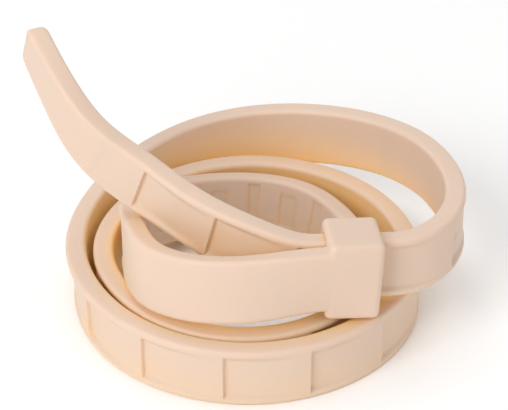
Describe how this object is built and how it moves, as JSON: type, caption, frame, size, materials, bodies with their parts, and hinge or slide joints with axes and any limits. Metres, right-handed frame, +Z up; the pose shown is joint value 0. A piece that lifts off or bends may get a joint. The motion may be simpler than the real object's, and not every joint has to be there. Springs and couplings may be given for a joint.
{
  "type": "ratchet tourniquet",
  "caption": "Coiled soft elastomer strap with sawtooth outer face, latched through its own slotted buckle, with a plain pull tab rising from the coil.",
  "frame": {"origin": "centre of the bounding box on the floor the coil lies on", "axes": "+Z up, +X towards the side where the outer turn bends into the buckle, +Y away from the buckle side"},
  "size_m": [0.0854, 0.0718, 0.0536],
  "materials": {
    "buckle_head_elastomer": "matte moulded",
    "strap_root_1_elastomer": "matte moulded",
    "strap_root_2_elastomer": "matte moulded",
    "strap_root_3_elastomer": "matte moulded",
    "strap_tooth_01_elastomer": "matte moulded",
    "strap_tooth_02_elastomer": "matte moulded",
    "strap_tooth_03_elastomer": "matte moulded",
    "strap_tooth_04_elastomer": "matte moulded",
    "strap_tooth_05_elastomer": "matte moulded",
    "strap_tooth_06_elastomer": "matte moulded",
    "strap_tooth_07_elastomer": "matte moulded",
    "strap_tooth_08_elastomer": "matte moulded",
    "strap_tooth_09_elastomer": "matte moulded",
    "strap_tooth_10_elastomer": "matte moulded",
    "strap_tooth_11_elastomer": "matte moulded",
    "strap_tooth_12_elastomer": "matte moulded",
    "strap_tooth_13_elastomer": "matte moulded",
    "strap_tooth_14_elastomer": "matte moulded",
    "strap_tooth_15_elastomer": "matte moulded",
    "strap_tooth_16_elastomer": "matte moulded",
    "strap_tooth_17_elastomer": "matte moulded",
    "strap_tooth_18_elastomer": "matte moulded",
    "strap_tooth_19_elastomer": "matte moulded",
    "strap_tooth_20_elastomer": "matte moulded",
    "strap_tooth_21_elastomer": "matte moulded",
    "strap_tooth_22_elastomer": "matte moulded",
    "strap_tooth_23_elastomer": "matte moulded",
    "strap_tooth_24_elastomer": "matte moulded",
    "strap_tooth_25_elastomer": "matte moulded",
    "strap_tooth_26_elastomer": "matte moulded",
    "strap_tooth_27_elastomer": "matte moulded",
    "strap_tooth_28_elastomer": "matte moulded",
    "strap_tooth_29_elastomer": "matte moulded",
    "strap_tooth_30_elastomer": "matte moulded",
    "strap_tooth_31_elastomer": "matte moulded",
    "strap_tooth_32_elastomer": "matte moulded",
    "strap_tooth_33_elastomer": "matte moulded",
    "strap_tooth_34_elastomer": "matte moulded",
    "strap_tooth_35_elastomer": "matte moulded",
    "pull_tab_base_elastomer": "matte moulded",
    "pull_tab_tip_elastomer": "matte moulded",
    "locking_pawl_elastomer": "matte moulded"
  },
  "bodies": {
    "coil_and_buckle": {"buckle_head": "buckle_head_elastomer", "strap_root_1": "strap_root_1_elastomer", "strap_root_2": "strap_root_2_elastomer", "strap_root_3": "strap_root_3_elastomer", "strap_tooth_01": "strap_tooth_01_elastomer", "strap_tooth_02": "strap_tooth_02_elastomer", "strap_tooth_03": "strap_tooth_03_elastomer", "strap_tooth_04": "strap_tooth_04_elastomer", "strap_tooth_05": "strap_tooth_05_elastomer", "strap_tooth_06": "strap_tooth_06_elastomer", "strap_tooth_07": "strap_tooth_07_elastomer", "strap_tooth_08": "strap_tooth_08_elastomer", "strap_tooth_09": "strap_tooth_09_elastomer", "strap_tooth_10": "strap_tooth_10_elastomer", "strap_tooth_11": "strap_tooth_11_elastomer", "strap_tooth_12": "strap_tooth_12_elastomer", "strap_tooth_13": "strap_tooth_13_elastomer", "strap_tooth_14": "strap_tooth_14_elastomer", "strap_tooth_15": "strap_tooth_15_elastomer", "strap_tooth_16": "strap_tooth_16_elastomer", "strap_tooth_17": "strap_tooth_17_elastomer", "strap_tooth_18": "strap_tooth_18_elastomer", "strap_tooth_19": "strap_tooth_19_elastomer", "strap_tooth_20": "strap_tooth_20_elastomer", "strap_tooth_21": "strap_tooth_21_elastomer", "strap_tooth_22": "strap_tooth_22_elastomer", "strap_tooth_23": "strap_tooth_23_elastomer", "strap_tooth_24": "strap_tooth_24_elastomer", "strap_tooth_25": "strap_tooth_25_elastomer", "strap_tooth_26": "strap_tooth_26_elastomer", "strap_tooth_27": "strap_tooth_27_elastomer", "strap_tooth_28": "strap_tooth_28_elastomer", "strap_tooth_29": "strap_tooth_29_elastomer"},
    "loop_turn": {"strap_tooth_30": "strap_tooth_30_elastomer", "strap_tooth_31": "strap_tooth_31_elastomer"},
    "strap_feed": {"strap_tooth_32": "strap_tooth_32_elastomer", "strap_tooth_33": "strap_tooth_33_elastomer", "strap_tooth_34": "strap_tooth_34_elastomer"},
    "tail": {"strap_tooth_35": "strap_tooth_35_elastomer"},
    "pull_tab": {"pull_tab_base": "pull_tab_base_elastomer"},
    "pull_tab_end": {"pull_tab_tip": "pull_tab_tip_elastomer"},
    "pawl": {"locking_pawl": "locking_pawl_elastomer"}
  },
  "joints": [
    {"name": "loop_swing", "type": "hinge", "parent": "coil_and_buckle", "child": "loop_turn", "pos_m": [0.03501, 0.01602, 0.0194], "axis": [0.0541, 0.0594, 0.9968], "range_deg": [-4, 1.5], "stiffness_Nm_per_rad": 0.02},
    {"name": "strap_feed", "type": "hinge", "parent": "loop_turn", "child": "strap_feed", "pos_m": [0.03782, -0.01315, 0.02061], "axis": [0.0541, 0.0594, 0.9968], "range_deg": [-1.5, 4], "stiffness_Nm_per_rad": 0.02},
    {"name": "tail_bend", "type": "hinge", "parent": "strap_feed", "child": "tail", "pos_m": [-0.00509, -0.01691, 0.02627], "axis": [0.2156, -0.1613, 0.9631], "range_deg": [-12, 2], "stiffness_Nm_per_rad": 0.02},
    {"name": "tab_bend", "type": "hinge", "parent": "tail", "child": "pull_tab", "pos_m": [-0.01846, -0.00867, 0.03119], "axis": [0.2876, -0.2116, 0.9341], "range_deg": [-20, 20], "stiffness_Nm_per_rad": 0.02},
    {"name": "tab_tip_bend", "type": "hinge", "parent": "pull_tab", "child": "pull_tab_end", "pos_m": [-0.03186, 0.00017, 0.04033], "axis": [0.4221, -0.4337, 0.796], "range_deg": [-20, 20], "stiffness_Nm_per_rad": 0.02},
    {"name": "pawl_flex", "type": "hinge", "parent": "coil_and_buckle", "child": "pawl", "pos_m": [0.02402, -0.02338, 0.02111], "axis": [0.0541, 0.0594, 0.9968], "range_deg": [0, 7], "stiffness_Nm_per_rad": 0.005}
  ],
  "couplings": [
    {"joint": "strap_feed", "follows": "loop_swing", "ratio": -1}
  ]
}
